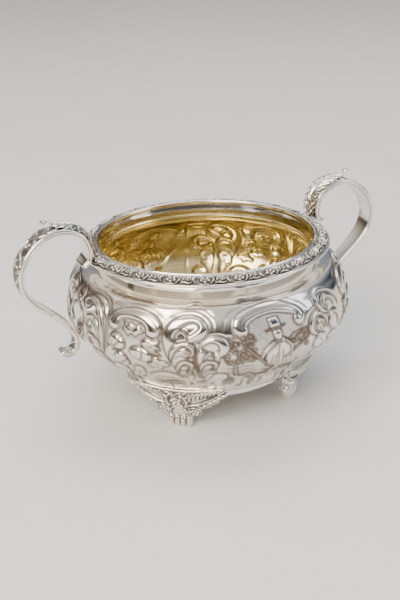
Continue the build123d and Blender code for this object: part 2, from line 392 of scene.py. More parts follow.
def oak_leaves(o):
    """Oak leaves round the acorns."""
    for leaf in (
        [(-59.5, 13), (-57.4, 13.6), (-56, 12.6), (-54.2, 14), (-52.4, 13), (-51.4, 15.6),
         (-50.4, 17.4), (-52.4, 18.6), (-53.8, 20.4), (-55.6, 19), (-57.2, 20.4), (-58.6, 18),
         (-60, 17.4), (-59, 15.4)],
        [(-50, 20), (-48, 19.6), (-46.4, 21), (-43.6, 20.6), (-44.4, 23), (-43.4, 25.6), (-45.6, 26),
         (-43.4, 29), (-46.4, 28.6), (-48.6, 27.4), (-50.4, 25.4), (-51.4, 22.6)],
        [(-47.4, 30.6), (-45.2, 29.8), (-43.6, 31.8), (-41.4, 32.6), (-40.4, 35.6), (-42.6, 36.6),
         (-44, 39.4), (-46.4, 37.6), (-48.6, 38.6), (-49.2, 35.6), (-47.6, 34), (-48.6, 32.4)],
        [(-66.6, 28.6), (-64.4, 30.6), (-62.8, 30.4), (-62.6, 33), (-64.4, 35.4), (-66.6, 34.2),
         (-67.4, 31.4)],
    ):
        o.pad(leaf, 0.6, soft=1.6)
    for vein in (
        [(-55.4, 20), (-55, 16), (-55.6, 13)], [(-55, 17), (-53, 14.6)], [(-55.1, 17.4), (-57.6, 15)],
        [(-50.6, 24.4), (-47, 23.6), (-44.2, 21.4)], [(-48, 23.8), (-45, 25.4)],
        [(-49, 24), (-45, 28.4)], [(-48.6, 31.4), (-45, 34), (-41.4, 35.4)],
        [(-45.6, 33.6), (-44.4, 37.6)], [(-46.8, 32.8), (-47.8, 37)],
    ):
        o.cut(vein, width=0.4, depth=0.6)


def acorn(o, middle, long, wide, lean):
    """An acorn lying in its cup. lean turns it, in degrees."""
    c, s = math.cos(math.radians(lean)), math.sin(math.radians(lean))

    def turned(x, y):
        return (middle[0] + (x * c - y * s) / MM_PER_DEGREE, middle[1] + x * s + y * c)

    shell = [turned(long * math.cos(a), wide * math.sin(a)) for a in round_angles(12)]
    o.pad(shell, 1.2, soft=wide, outline=0.9)
    o.cut([turned(-0.15 * long, -wide), turned(0.14 * long, -0.4 * wide), turned(0.14 * long, 0.4 * wide),
        turned(-0.15 * long, wide)], width=0.6)
    o.cut([turned(-0.5 * long, -0.8 * wide), turned(-0.3 * long, 0), turned(-0.5 * long, 0.8 * wide)],
        width=0.35, depth=0.4)


def low_leaves(o):
    """The leaves under the fruit, just over a foot, each with its rib."""
    for leaf, rib in (
        ([(-57.8, 46), (-56, 40.6), (-53.6, 39.4), (-52, 42), (-52.8, 48), (-56, 53), (-60.4, 56),
          (-60.6, 52)], [(-54, 41), (-55.4, 47), (-59.4, 54.4)]),
        ([(-51, 48.4), (-47.6, 43.4), (-43, 41.4), (-39, 42.8), (-36.4, 47.4), (-40.6, 50.0),
          (-46, 51)], [(-50, 48.2), (-44, 46), (-37.8, 47)]),
        ([(-70.6, 48), (-66.4, 43.6), (-62, 45.4), (-61.4, 50.6), (-65, 53.4), (-70, 52)], [(-69.6, 50),
          (-66, 48), (-62.4, 48.6)]),
        ([(-51, 55), (-44.6, 52.4), (-38.4, 52.4), (-33.6, 56), (-38, 60), (-46.6, 60)], [(-50, 56),
          (-43, 56), (-35, 56.4)]),
        ([(-85, 52), (-80, 46.6), (-75, 47), (-72.2, 52), (-77, 56.4), (-82, 57)], [(-84, 52.4),
          (-79, 51), (-73.6, 52)]),
        ([(-70, 58), (-65, 55), (-60, 58), (-60, 63), (-66, 64)], [(-69, 60), (-65, 59), (-61, 60.6)]),
        ([(-24, 56), (-19, 53), (-13, 54), (-10, 58), (-15, 61), (-21, 60.6)], [(-23, 57), (-17, 57),
          (-11.4, 58)]),
        ([(-8, 58), (-4, 54.4), (1, 54.6), (3.6, 58.4), (0, 61.6), (-5, 61.4)], [(-7, 58.6), (-2.4, 58),
          (2.6, 58.6)]),
    ):
        o.pad(leaf, 0.85, soft=2.4)
        o.cut(rib, depth=0.6)
        for t in (0.3, 0.55, 0.8):
            x, y = rounded(rib)[int(t * 12)]
            o.cut([(x, y), (x + 1.1, y - 2.0)], width=0.35, depth=0.5)
            o.cut([(x, y), (x + 1.1, y + 2.0)], width=0.35, depth=0.5)


def great_leaf(o):
    """The larger acanthus of the pair, with its rolled top and three side lobes."""
    o.pad([(-33.6, 51), (-37.8, 39), (-41.3, 28), (-42.8, 18), (-40.8, 10.4), (-36.8, 6.0), (-31.8, 4.8),
        (-27.8, 7.0), (-25.6, 12.2), (-26.5, 17.0), (-29.2, 19.5), (-31.2, 20.4), (-30.2, 24),
        (-31.2, 29), (-30.8, 34), (-31.8, 39), (-31.4, 46)], 0.9, soft=4.6)
    o.pad([(-36.2, 13.2), (-34.2, 10.8), (-31.6, 9.5), (-29.4, 10.6), (-29.2, 12.9), (-31, 15.2),
        (-32.8, 16.4), (-34.0, 14.2)], -0.75, soft=1.1, level=0.55)
    o.pad([(-38.2, 18.2), (-37.2, 15.0), (-35.4, 14.4), (-33.8, 16.2), (-33.4, 18.6), (-35.4, 20),
        (-37.4, 20.6)], -0.7, soft=1.1, level=0.55)
    o.band([(-39.8, 32), (-39.0, 26), (-37.0, 22.2), (-33.8, 21.2), (-31.4, 23.2), (-31.3, 26.4),
        (-33.2, 28.4)], [1.0, 2.8, 3.2, 3.2, 2.9, 2.4, 0.9], 0.5, level=0.6, outline=1.0)
    o.cut([(-36.2, 22.6), (-34.2, 22.2), (-33.1, 24), (-33.7, 26), (-34.9, 25.8)], width=0.6, depth=0.8)
    o.cut([(-38.0, 29.4), (-36.0, 27.2), (-34, 28.4), (-33.0, 30.4)])
    o.band([(-37.6, 42), (-37.3, 36), (-35.6, 32), (-33.2, 31.4), (-31.8, 33.6), (-32.4, 36.6),
        (-33.8, 37.6)], [1.0, 2.4, 2.8, 2.7, 2.4, 1.8, 0.9], 0.48, level=0.55, outline=1.0)
    o.cut([(-35.6, 34.4), (-34.2, 33.6), (-33.5, 35.2), (-34.2, 36.4)], width=0.5, depth=0.7)
    o.cut([(-36.4, 38.4), (-35.0, 37.0), (-34.0, 38.4), (-34.0, 41), (-34.6, 44)])
    o.band([(-35.2, 47), (-34.6, 42.4), (-32.8, 40.6), (-32.2, 42)], [0.8, 1.9, 1.9, 0.9],
        0.36, level=0.5)
    o.cut([(-43.6, 27), (-44.1, 17), (-41.8, 9.0), (-37.4, 4.0), (-31.6, 2.6), (-27, 4.3), (-24.0, 9.4),
        (-23.4, 14)])
    o.cut([(-41.7, 8.2), (-38, 3.0), (-31.6, 1.2), (-26.4, 2.4), (-23.0, 6.6)], depth=0.5)


def small_leaf(o):
    """The smaller acanthus of the pair, turned the other way."""
    o.pad([(-27.4, 51), (-29.5, 41), (-30.0, 31), (-29.3, 24.0), (-26.6, 18.8), (-23, 16.8),
        (-19.4, 18.4), (-17.8, 22.8), (-18.8, 27), (-21.4, 29.2), (-21.6, 33.0), (-22.8, 37.4),
        (-23.6, 42), (-25.6, 48)], 0.85, soft=4.0)
    o.pad([(-28.0, 23.6), (-25.8, 20.8), (-23.4, 20.6), (-21.7, 22.8), (-22.4, 26), (-24.6, 26.8),
        (-26.2, 25.2)], -0.7, soft=1.1, level=0.55)
    o.band([(-27.6, 31), (-26.6, 27.6), (-24.6, 26.4), (-23.6, 28.6)], [0.9, 1.9, 1.7, 0.8],
        0.4, level=0.5, outline=0.8)
    o.band([(-28.9, 39), (-28.2, 33.6), (-26.0, 31.2), (-23.6, 31.6), (-22.9, 34.4), (-24.6, 36.2)],
        [0.9, 2.4, 2.7, 2.6, 2.2, 0.9], 0.46, level=0.55, outline=1.0)
    o.cut([(-26.6, 33.4), (-25.0, 32.9), (-24.4, 34.2), (-25.2, 35.2)], width=0.5, depth=0.7)
    o.cut([(-27.6, 37.4), (-26.2, 35.8), (-24.8, 36.8)], depth=0.7)
    o.band([(-28.0, 47), (-27.6, 41.6), (-25.6, 38.6), (-23.6, 39.0), (-23.6, 41.4)],
        [0.8, 2.1, 2.4, 2.0, 0.9], 0.42, level=0.5)
    o.cut([(-30.7, 21), (-30.6, 30), (-30.4, 40), (-29.2, 50)], width=0.7)
    o.pad([(-25.4, 48), (-24.2, 43.4), (-21.4, 42), (-18.4, 44), (-18.2, 48.6), (-21.6, 50.6)],
        0.9, soft=2.6)
    o.pad([(-33, 56), (-29.6, 52.0), (-26, 53.4), (-25.0, 57), (-29.6, 60)], 0.7, soft=2.4)


def picture_scroll(o):
    """The C scroll that frames the picture of a walker."""
    o.matting([(-20, 20), (-16, 19), (-11, 17), (-9, 10), (-2, 8), (6, 9), (9.6, 14), (13, 19), (16, 22),
        (17, 32), (20, 40), (16, 50), (6, 54), (-8, 53), (-18, 50), (-21, 38)], sunk=0.2)
    o.pad([(-10.6, 12.6), (-10.3, 15), (-11, 18), (-13, 19.2), (-15.6, 17.4), (-16.5, 13), (-15.3, 8),
        (-11.6, 4.4), (-6, 2.2), (0, 1.6), (6, 3), (11, 7), (14, 12), (14.5, 15.5), (13.5, 18.2),
        (11.5, 19.2), (9.5, 17.4), (9, 14.5), (9.4, 12.4), (5, 10), (1, 8.5), (-3, 8.5), (-7, 9.7)],
        1.0, soft=3.2)
    o.cut([(-13, 14), (-12.6, 9.8), (-8, 6.4), (0, 5), (6, 6.4), (10, 10.2), (12, 15)],
        width=1.1, depth=0.5)
    o.cut([(-20, 14), (-18.6, 7), (-13.5, 2.2), (-6, 0.6)], depth=0.5)
    o.cut([(8, 1.6), (14, 6), (17.4, 12.6)], depth=0.6)


def walker(o):
    """A small figure in a tall hat and a long coat, with a staff. The face is a plain round."""
    o.band([(1.4, 41), (0.6, 45.6), (-1.4, 49.6)], [2.2, 1.6, 1.4], 0.7)
    o.band([(4.2, 41), (5.2, 46), (7.4, 49.4)], [2.2, 1.6, 1.4], 0.7)
    o.pad([(-2.6, 25.6), (-0.4, 23.2), (2.2, 22.4), (4.4, 23.2), (6.0, 26.6), (6.6, 32), (7.2, 38.4),
        (5.6, 43.4), (3.4, 42.2), (1.4, 43.6), (-0.4, 40.6), (-2.4, 41.4), (-4.0, 37), (-3.8, 31)],
        0.95, soft=3.2)
    o.pad([(-0.6, 18.4), (1.2, 17.4), (2.9, 18.6), (3.1, 21.2), (2.4, 23.4), (0.4, 23.2), (-0.5, 21.4)],
        0.85, soft=1.6)
    o.pad([(-2.6, 11.0), (2.0, 10.6), (2.9, 16.2), (-1.7, 16.8)], 0.75, soft=1.2, sharp=True)
    o.band([(-3.6, 17.5), (0.4, 17.2), (4.6, 16.2)], [0.8, 1.4, 0.8], 0.8)
    o.band([(-0.6, 24.6), (-3.6, 28.0), (-5.6, 32.4), (-4.0, 35.4)], [1.8, 2.3, 2.0, 1.4], 0.6, level=0.5)
    o.band([(4.2, 24.6), (7.0, 28.4), (6.4, 32.8), (4.2, 34.4)], [1.8, 2.3, 2.0, 1.3], 0.55, level=0.5)
    for fold in (
        [(1.4, 24), (0.8, 29), (1.2, 35), (1.6, 41)], [(2.6, 29), (2.9, 34), (3.4, 40)],
        [(-1.2, 31), (-1.8, 35), (-1.2, 39)], [(0.2, 31), (-0.2, 35), (0.2, 40)],
        [(4.6, 36), (5.0, 39), (5.2, 42)],
    ):
        o.cut(fold, width=0.5, depth=0.8)
    o.band([(-11.4, 25), (-6, 33.4), (-0.4, 43)], [1.2, 1.4, 1.2], 0.6, level=0.4)


def thicket(o):
    """The tree and grass round the walker, in small punched leaves."""
    o.band([(-15, 45), (-15.6, 36), (-14.4, 30), (-16.6, 24)], [2.2, 1.5, 1.2, 0.8], 0.5)
    o.band([(-14.8, 32), (-11.6, 27.6), (-10.6, 23)], [1.2, 0.9, 0.6], 0.45)
    tree, bush, grass = (-20, -8, 18, 35, 74), (8, 15, 21, 33, 22), (-19, 14, 44, 52, 44)
    for left, right, top, bottom, count in (tree, bush, grass):
        for _ in range(count):
            x, y = rng.uniform(left, right), rng.uniform(top, bottom)
            lean = rng.uniform(-0.9, 0.9)
            o.band([(x - 0.7, y + lean), (x, y), (x + 0.7, y - lean)], [0.6, 1.5, 0.6],
                rng.uniform(0.35, 0.65), outline=0.7)
    for spray in ([(5.8, 25), (8, 23.4), (12.4, 21.6)], [(8, 32), (11, 30.8), (15.4, 27.4)]):
        o.band(spray, [1.0, 1.8, 0.8], 0.6)
    for row, height in enumerate((38, 41, 44)):
        o.cut([(-19, height + 0.6), (-13, height - 0.4), (-8 + row, height)], width=0.5, depth=0.6)


def shell_scrolls(o):
    """The shells and scrolls to the right of the picture."""
    o.band([(20.8, 29.4), (17.6, 25.4), (17.6, 20.4), (20, 17), (23.4, 17.2), (26.2, 20.6), (27.2, 27)],
        [1.4, 3.4, 4.0, 4.0, 3.8, 3.2, 1.4], 0.8)
    o.band([(23.6, 29), (21, 25), (21.6, 21.6), (24.2, 22), (25, 26.6)], [1.2, 2.4, 2.8, 2.6, 1.2],
        0.6, level=0.15)
    o.pad([(18.8, 33), (20.6, 29.4), (24, 29), (26.6, 32.6), (26.4, 37.6), (23, 40), (20, 38)],
        0.75, soft=2.6)
    o.cut([(21, 31), (23.4, 33.4), (24, 38)], depth=0.6)
    o.band([(28.4, 19.6), (24.6, 16.4), (22.6, 11), (23, 6.8), (26.4, 5), (31.6, 7), (35.6, 11.6),
        (37.8, 19)], [1.4, 3.2, 3.6, 3.4, 3.6, 3.6, 3.2, 1.2], 0.85)
    o.band([(29, 17), (27, 12.6), (29.4, 10.4), (32.4, 13), (33.6, 17.6)], [1.0, 2.4, 2.8, 2.6, 1.0],
        0.65, level=0.1)
    o.band([(30.4, 31), (29, 25.6), (31, 21.4), (34.6, 22), (36.4, 26), (36.6, 31)],
        [1.2, 2.8, 3.2, 3.0, 2.6, 1.2], 0.75)
    o.pad([(28.8, 36), (31, 33), (35, 34), (38.6, 39), (37.6, 41.6), (33, 41)], 0.6, soft=2.2)
    o.pad([(20.6, 45), (24, 42), (29, 43.4), (33.6, 47), (31, 50), (25, 50)], 0.6, soft=2.4)
    o.cut([(19.6, 30), (15.8, 25.6), (15.8, 19.6), (19, 15.2), (23, 15.2)], depth=0.6)


def belly_chasing(length):
    """The whole scheme of half the girth. The other half repeats it."""
    o = Ornament(180 * MM_PER_DEGREE, length, CHASING_STEP, wraps=True)

    def left(points):
        return [((90 + degrees) * MM_PER_DEGREE, down) for degrees, down in points]

    def right(points):
        return [((90 - degrees) * MM_PER_DEGREE, down) for degrees, down in points]

    for side in (left, right):
        o.place = side
        fruit_scroll(o)
        tall_leaf(o)
        oak_leaves(o)
        acorn(o, (-62, 25), 5.6, 4.4, 35)
        acorn(o, (-51.6, 29.8), 6.8, 4.7, 12)
        acorn(o, (-60.6, 36.4), 5.6, 4.0, 70)
        low_leaves(o)
    o.place = left
    picture_scroll(o)
    thicket(o)
    walker(o)
    great_leaf(o)
    small_leaf(o)
    shell_scrolls(o)
    down = np.arange(o.rows) * o.step
    o.high = 1.3 * o.high - GROUND * (ease(down, 0.5, 6.0) * (1 - ease(down, 58, 68)))[:, None]
    grain = rng.standard_normal(o.high.shape)
    o.high += 0.13 * o.matted * o.soften(grain, 0.3) / 0.25
    o.high = np.clip(1.12 * o.soften(o.high, 0.52), -DEEPEST, 0)
    o.dark = np.clip(1.6 * o.soften(o.dark, 0.32), 0, 1)
    o.dark = np.clip(o.dark + 0.34 * o.matted * (0.4 + np.clip(-2.2 * o.soften(grain, 0.4), 0, 1)), 0, 1)
    return o


# ---------------------------------------------------------------- working metal

def worked(name, across, along, form):
    """A flat grid of metal worked into shape. form takes places from 0 to 1 across and along the grid,
    and gives points in mm, and may give the way the surface faces, its tarnish and its matting."""
    bpy.ops.object.select_all(action="DESELECT")
    bpy.ops.mesh.primitive_grid_add(x_subdivisions=across, y_subdivisions=along, size=1.0)
    piece = bpy.context.object
    piece.name = name
    mesh = piece.data
    mesh.name = name
    places = np.empty(3 * len(mesh.vertices))
    mesh.vertices.foreach_get("co", places)
    places = places.reshape(-1, 3)
    shape = form(places[:, 0] + 0.5, places[:, 1] + 0.5)
    mesh.vertices.foreach_set("co", (shape["points"] * MM).ravel())
    for field in ("tarnish", "matted"):
        values = shape.get(field, np.zeros(len(places)))
        mesh.attributes.new(field, "FLOAT", "POINT").data.foreach_set("value", values)
    if "facing" in shape:
        facing = mesh.attributes.new("facing", "FLOAT_VECTOR", "POINT")
        facing.data.foreach_set("vector", shape["facing"].ravel())
    close_up(piece)
    return piece


def close_up(piece):
    """Seams and poles joined, faces turned outwards, and smooth all over."""
    bpy.ops.object.mode_set(mode="EDIT")
    bpy.ops.mesh.select_all(action="SELECT")
    bpy.ops.mesh.remove_doubles(threshold=0.002 * MM)
    bpy.ops.mesh.dissolve_degenerate(threshold=0.001 * MM)
    bpy.ops.mesh.normals_make_consistent(inside=False)
    if bmesh.from_edit_mesh(piece.data).calc_volume(signed=True) < 0:
        bpy.ops.mesh.flip_normals()
    bpy.ops.object.mode_set(mode="OBJECT")
    bpy.ops.object.shade_smooth()


def face_as_chased(piece):
    """Shade a piece by its chasing, which is finer than its mesh. Where nothing is chased it stays so."""
    mesh = piece.data
    count = len(mesh.vertices)
    wanted = np.empty(3 * count)
    mesh.attributes["facing"].data.foreach_get("vector", wanted)
    plain = np.empty(3 * count)
    mesh.vertices.foreach_get("normal", plain)
    wanted, plain = wanted.reshape(-1, 3), plain.reshape(-1, 3)
    chased = np.linalg.norm(wanted, axis=1) > 0.5
    plain[chased] = wanted[chased]
    mesh.attributes.remove(mesh.attributes["facing"])
    mesh.normals_split_custom_set_from_vertices(plain)


def tarnish_hollows(piece, reach, depth):
    """Leave tarnish where a casting is hollow: reach is how far round is looked, in steps of its mesh, and
    depth in mm is how hollow the darkest places are."""
    mesh = piece.data
    count = len(mesh.vertices)
    points = np.empty(3 * count)
    mesh.vertices.foreach_get("co", points)
    points = points.reshape(-1, 3)
    facing = np.empty(3 * count)
    mesh.vertices.foreach_get("normal", facing)
    ends = np.empty(2 * len(mesh.edges), dtype=np.int32)
    mesh.edges.foreach_get("vertices", ends)
    ends = ends.reshape(-1, 2)
    both = np.concatenate([ends, ends[:, ::-1]])
    shares = np.bincount(both[:, 0], minlength=count)[:, None]
    around = points
    for _ in range(reach):
        sums = [np.bincount(both[:, 0], around[both[:, 1], k], count) for k in range(3)]
        around = np.stack(sums, axis=1) / shares
    sunk = ((around - points) * facing.reshape(-1, 3)).sum(1) / MM
    mesh.attributes["tarnish"].data.foreach_set("value", 0.9 * ease(sunk, 0.0, depth))


def slab_places(u, v, columns, rows):
    """Where a grid's points lie on a closed slab: across it from -1 to 1, along it from 0 to 1, whether
    on its shown face, and whether at its first or its last end."""
    half = columns // 2
    column = np.round(u * columns).astype(int) % columns
    row = np.round(v * rows).astype(int)
    side = np.where(column <= half, 2.0 * column / half - 1.0, 3.0 - 2.0 * column / half)
    along = np.clip(row - 1, 0, rows - 2) / (rows - 2)
    return side, along, column <= half, row == 0, row == rows


def copied(piece, name, degrees):
    """A copy with its own mesh, turned round the bowl's axis."""
    twin = piece.copy()
    twin.data = piece.data.copy()
    twin.name = name
    twin.data.name = name
    bpy.context.collection.objects.link(twin)
    twin.data.transform(Matrix.Rotation(math.radians(degrees), 4, "Z"))
    return twin


def finish(piece, material, node):
    """Polish a piece and set it on the object in place of its CAD node."""
    piece.data.materials.clear()
    piece.data.materials.append(material)
    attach(piece, "root")
    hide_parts(node)


def finish_round(piece, kind, corners):
    """A casting and its copies at quarter turns, each finished for its own corner of the bowl."""
    pieces = [piece]
    for index, corner in enumerate(corners[1:]):
        pieces.append(copied(piece, f"{kind}_{corner}_cast", 90.0 * (index + 1)))
    for one, corner in zip(pieces, corners):
        finish(one, CAST_SILVER, f"{kind}_{corner}")


# ---------------------------------------------------------------- metals

# Real sizes of what shows on old polished silver, in mm
CLOUD = 34
SPOT = 5
HAMMERING = 9
HAIRLINE = 1.4
HAIRLINE_DEPTH = 0.004
PUNCH_MARK = 0.8
PUNCH_DEPTH = 0.18


def linear(code):
    """A colour given as sRGB hex, as the light it stands for."""
    values = [int(code[i:i + 2], 16) / 255 for i in (1, 3, 5)]
    return [v / 12.92 if v <= 0.04045 else ((v + 0.055) / 1.055) ** 2.4 for v in values] + [1.0]


def put(tree, kind, inputs=(), **settings):
    """Add a node with its settings. inputs pairs a socket with a value, with the socket that feeds it, or
    with a node whose first output feeds it."""
    node = tree.nodes.new(kind)
    for name, value in settings.items():
        setattr(node, name, value)
    for socket, value in dict(inputs).items():
        if isinstance(value, bpy.types.Node):
            value = value.outputs[0]
        if isinstance(value, bpy.types.NodeSocket):
            tree.links.new(value, node.inputs[socket])
        else:
            node.inputs[socket].default_value = value
    return node


def per_metre(millimetres):
    """Pattern scale for features of a size in mm, on Object coordinates in metres."""
    return 1.0 / (millimetres * MM)


def new_material(name):
    """An empty material, and its tree."""
    material = bpy.data.materials.new(name)
    material.use_nodes = True
    material.node_tree.nodes.clear()
    return material, material.node_tree


def precious_metal(name, bright, toned, tarnish, roughness, film, wave):
    """A polished precious metal with old tarnish. bright is its clean colour, toned that of its thin film,
    film how much of that there is, and wave the depth in mm of its hammer marks."""
    material, tree = new_material(name)
    place = put(tree, "ShaderNodeTexCoord").outputs["Object"]
    hollow = put(tree, "ShaderNodeAttribute", attribute_name="tarnish").outputs["Fac"]
    matted = put(tree, "ShaderNodeAttribute", attribute_name="matted").outputs["Fac"]
    # Clouds and spots of thin straw-coloured film, then brown in the hollows
    cloud = put(tree, "ShaderNodeTexNoise", {"Vector": place, "Scale": per_metre(CLOUD), "Detail": 3.0})
    spots = put(tree, "ShaderNodeTexNoise", {"Vector": place, "Scale": per_metre(SPOT), "Detail": 2.0})
    clouded = put(tree, "ShaderNodeMapRange", {0: cloud, 1: 0.38, 2: 0.72, 3: 0.0, 4: film})
    filmed = put(tree, "ShaderNodeMath", {0: spots, 1: 0.12, 2: clouded}, operation="MULTIPLY_ADD")
    face = put(tree, "ShaderNodeMix", {0: filmed, 6: linear(bright), 7: linear(toned)}, data_type="RGBA")
    stain = put(tree, "ShaderNodeMath", {0: hollow, 1: 0.92}, operation="MULTIPLY")
    colour = put(tree, "ShaderNodeMix", {
        0: stain, 6: face.outputs[2], 7: linear(tarnish),
    }, data_type="RGBA")
    rough = roughness
    for source, amount in ((hollow, 0.3), (matted, 0.2), (spots, 0.06)):
        rough = put(tree, "ShaderNodeMath", {0: source, 1: amount, 2: rough}, operation="MULTIPLY_ADD")
    # Hammer marks planished almost away, which make the reflections swim a little
    hammer = put(tree, "ShaderNodeTexNoise", {"Vector": place, "Scale": per_metre(HAMMERING), "Detail": 0.0})
    marks = put(tree, "ShaderNodeBump", {"Height": hammer, "Distance": wave * MM, "Strength": 1.0})
    # Hairlines from years of polishing, drawn coarser than real ones so that they show
    pulled = put(tree, "ShaderNodeMapping", {"Vector": place, "Scale": (1.0, 1.0, 6.0)})
    lines = put(tree, "ShaderNodeTexNoise", {"Vector": pulled, "Scale": per_metre(HAIRLINE), "Detail": 2.0})
    hairs = put(tree, "ShaderNodeBump", {"Height": lines, "Distance": HAIRLINE_DEPTH * MM, "Normal": marks})
    # The round-ended punch that mats the ground of the picture
    punch = put(tree, "ShaderNodeTexVoronoi", {"Vector": place, "Scale": per_metre(PUNCH_MARK)})
    dents = put(tree, "ShaderNodeMath", {0: punch, 1: matted}, operation="MULTIPLY")
    punched = put(tree, "ShaderNodeBump", {"Height": dents, "Distance": PUNCH_DEPTH * MM, "Normal": hairs})
    shader = put(tree, "ShaderNodeBsdfPrincipled", {
        "Base Color": colour.outputs[2], "Metallic": 1.0, "Roughness": rough, "Normal": punched,
    })
    put(tree, "ShaderNodeOutputMaterial", {"Surface": shader})
    return material


# Sterling sheet, raised, chased and polished: bright warm white, a faint straw film and brown lines
SHEET_SILVER = precious_metal(
    "polished_sterling_sheet", bright="#F7F3EC", toned="#DCCDB4", tarnish="#5A4531",
    roughness=0.10, film=0.45, wave=0.05,
)
# Sterling castings: a softer polish, with more tarnish left in the depth of the ornament
CAST_SILVER = precious_metal(
    "cast_sterling", bright="#F4F0E9", toned="#D9CCB8", tarnish="#463A30",
    roughness=0.15, film=0.4, wave=0.02,
)
# Fire gilding over silver: deep yellow, burnished, and browner where it lies deep
GILDING_METAL = precious_metal(
    "burnished_gilding", bright="#EBDBA6", toned="#CDB877", tarnish="#7A6230",
    roughness=0.14, film=0.5, wave=0.05,
)


# ---------------------------------------------------------------- bowl

neck = spline(NECK, start=DOWN_NECK, end=ACROSS_SHOULDER)
belly = spline(BELLY, start=ACROSS_SHOULDER, end=(-1, 0))
wall_line = np.vstack([neck[:-1], belly, [(0.0, belly[-1][1])]])
wall_far = lengths(wall_line) - lengths(neck)[-1]      # nought at the shoulder, negative up the neck
wall_way = directions(wall_line, wall_far)
BELLY_LENGTH = lengths(belly)[-1]
BOTTOM_END = wall_far[-1]
GILT_LINE = float(np.interp(-GILT_LINE_Z, -wall_line[:len(neck), 1], wall_far[:len(neck)]))


def wall(far, depth=0.0):
    """The bowl's outside in section at distances down from the shoulder, moved inwards by depth,
    and the way it faces."""
    facing = square_to(follow(far, wall_far, wall_way))
    facing /= np.linalg.norm(facing, axis=-1)[..., None]
    moved = follow(far, wall_far, wall_line) - np.asarray(depth)[..., None] * facing
    moved[..., 0] = np.where(far >= BOTTOM_END - 1e-6, 0.0, moved[..., 0])
    return moved, facing


def seam_depth(far):
    """How deep in the wall the silver ends and the gilding begins."""
    return SHEET_THIN + (SHEET_DEEP - SHEET_THIN) * ease(far, -5, 5) * (1 - ease(far, 60, 72))


chasing = belly_chasing(BELLY_LENGTH)


def chased(high, degrees, far, points, facing, inward):
    """Turn a section round the bowl with its chasing: gives points and the way the surface faces."""
    x = (degrees + 90) * MM_PER_DEGREE
    y = np.clip(far, 0, BELLY_LENGTH)
    slope_y, slope_x = np.gradient(high, chasing.step)
    along_x = chasing.read(slope_x, x, y) * GIRTH_R / np.maximum(points[:, 0], 10.0)
    along_y = chasing.read(slope_y, x, y)
    turn = np.radians(degrees)
    s, c = np.sin(turn), np.cos(turn)
    moved = points + chasing.read(high, x, y)[:, None] * facing
    solid = np.stack([moved[:, 0] * s, -moved[:, 0] * c, moved[:, 1]], axis=1)
    out = np.stack([facing[:, 0] * s, -facing[:, 0] * c, facing[:, 1]], axis=1)
    round_way = np.stack([c, s, np.zeros_like(s)], axis=1)
    down_way = np.stack([facing[:, 1] * s, -facing[:, 1] * c, -facing[:, 0]], axis=1)
    normal = out - along_x[:, None] * round_way - along_y[:, None] * down_way
    normal /= np.linalg.norm(normal, axis=1)[:, None]
    return solid, -normal if inward else normal


def plain_rows(points):
    """Rows of a section that nothing is chased on: points, facings, distances, and whether chased."""
    points = np.array(points, float)
    return points, np.zeros_like(points), np.zeros(len(points)), np.zeros(len(points))


def wall_rows(far, depth, is_chased):
    """Rows that follow the wall at a depth."""
    points, facing = wall(far, depth)
    return points, facing, far, np.full(len(far), float(is_chased))


def turned_solid(name, parts, columns, high, inward):
    """A closed solid turned from the rows of its section."""
    points, facing, far, is_chased = (np.concatenate(column) for column in zip(*parts))
    count = len(points)
    stain, roughen = (0.45, 0.2) if inward else (1.0, 1.0)

    def form(u, v):
        row = np.minimum(np.round(v * count).astype(int), count) % count
        degrees = u * 360.0 - 180.0
        works = is_chased[row]
        solid, normal = chased(high, degrees, far[row], points[row], facing[row] * works[:, None], inward)
        x = (degrees + 90) * MM_PER_DEGREE
        y = np.clip(far[row], 0, BELLY_LENGTH)
        return {
            "points": solid,
            "facing": normal * works[:, None],
            "tarnish": chasing.read(chasing.dark, x, y) * works * stain,
            "matted": chasing.read(chasing.matted, x, y) * works * roughen,
        }

    piece = worked(name, columns, count, form)
    face_as_chased(piece)
    return piece


bead_turn = np.radians(np.linspace(215, 60, 9))
bead = np.array(BEAD) + BEAD_R * np.stack([np.cos(bead_turn), np.sin(bead_turn)], axis=1)
gilt_edge, _ = wall(np.array([GILT_LINE]), 2 * SHEET_THIN)
inner_band = even(spline([gilt_edge[0], (60.0, 88.6), (60.4, 91.8), (61.1, 94.7)]), 7)
outside_far = np.concatenate([
    np.linspace(wall_far[0], 0.0, 11)[:-1],
    np.linspace(0.0, CHASED_TO, 86),
    np.linspace(CHASED_TO, BELLY_LENGTH, 10)[1:],
    [BELLY_LENGTH + 12, BOTTOM_END],
])
inside_far = np.concatenate([
    np.linspace(GILT_LINE, 0, 8)[:-1],
    np.linspace(0, 60, 72),
    np.linspace(60, BELLY_LENGTH, 6)[1:],
    [BOTTOM_END],
])
seam_far = np.concatenate([[BOTTOM_END], np.linspace(BELLY_LENGTH, 0, 13), [-5.0], [GILT_LINE]])
sheet = turned_solid("bowl_raised_sheet", [
    plain_rows(inner_band),
    plain_rows(bead),
    plain_rows([LIP_IN, LIP_OUT, (LIP_OUT[0], LIP_OUT[1] - LIP_EDGE), LIP_ROOT]),
    wall_rows(outside_far, 0.0, True),
    wall_rows(seam_far, seam_depth(seam_far), False),
], SILVER_COLUMNS, chasing.high, False)
finish(sheet, SHEET_SILVER, "bowl_body")

# From the inside the chasing shows through the sheet, softened
gilding = turned_solid("bowl_gilding", [
    wall_rows(inside_far, seam_depth(inside_far) + GILDING + 0.05, True),
    wall_rows(seam_far, seam_depth(seam_far) + 0.02, False),
], GILT_COLUMNS, chasing.soften(chasing.high, 0.7), True)
finish(gilding, GILDING_METAL, "bowl_body")


# ---------------------------------------------------------------- rim border

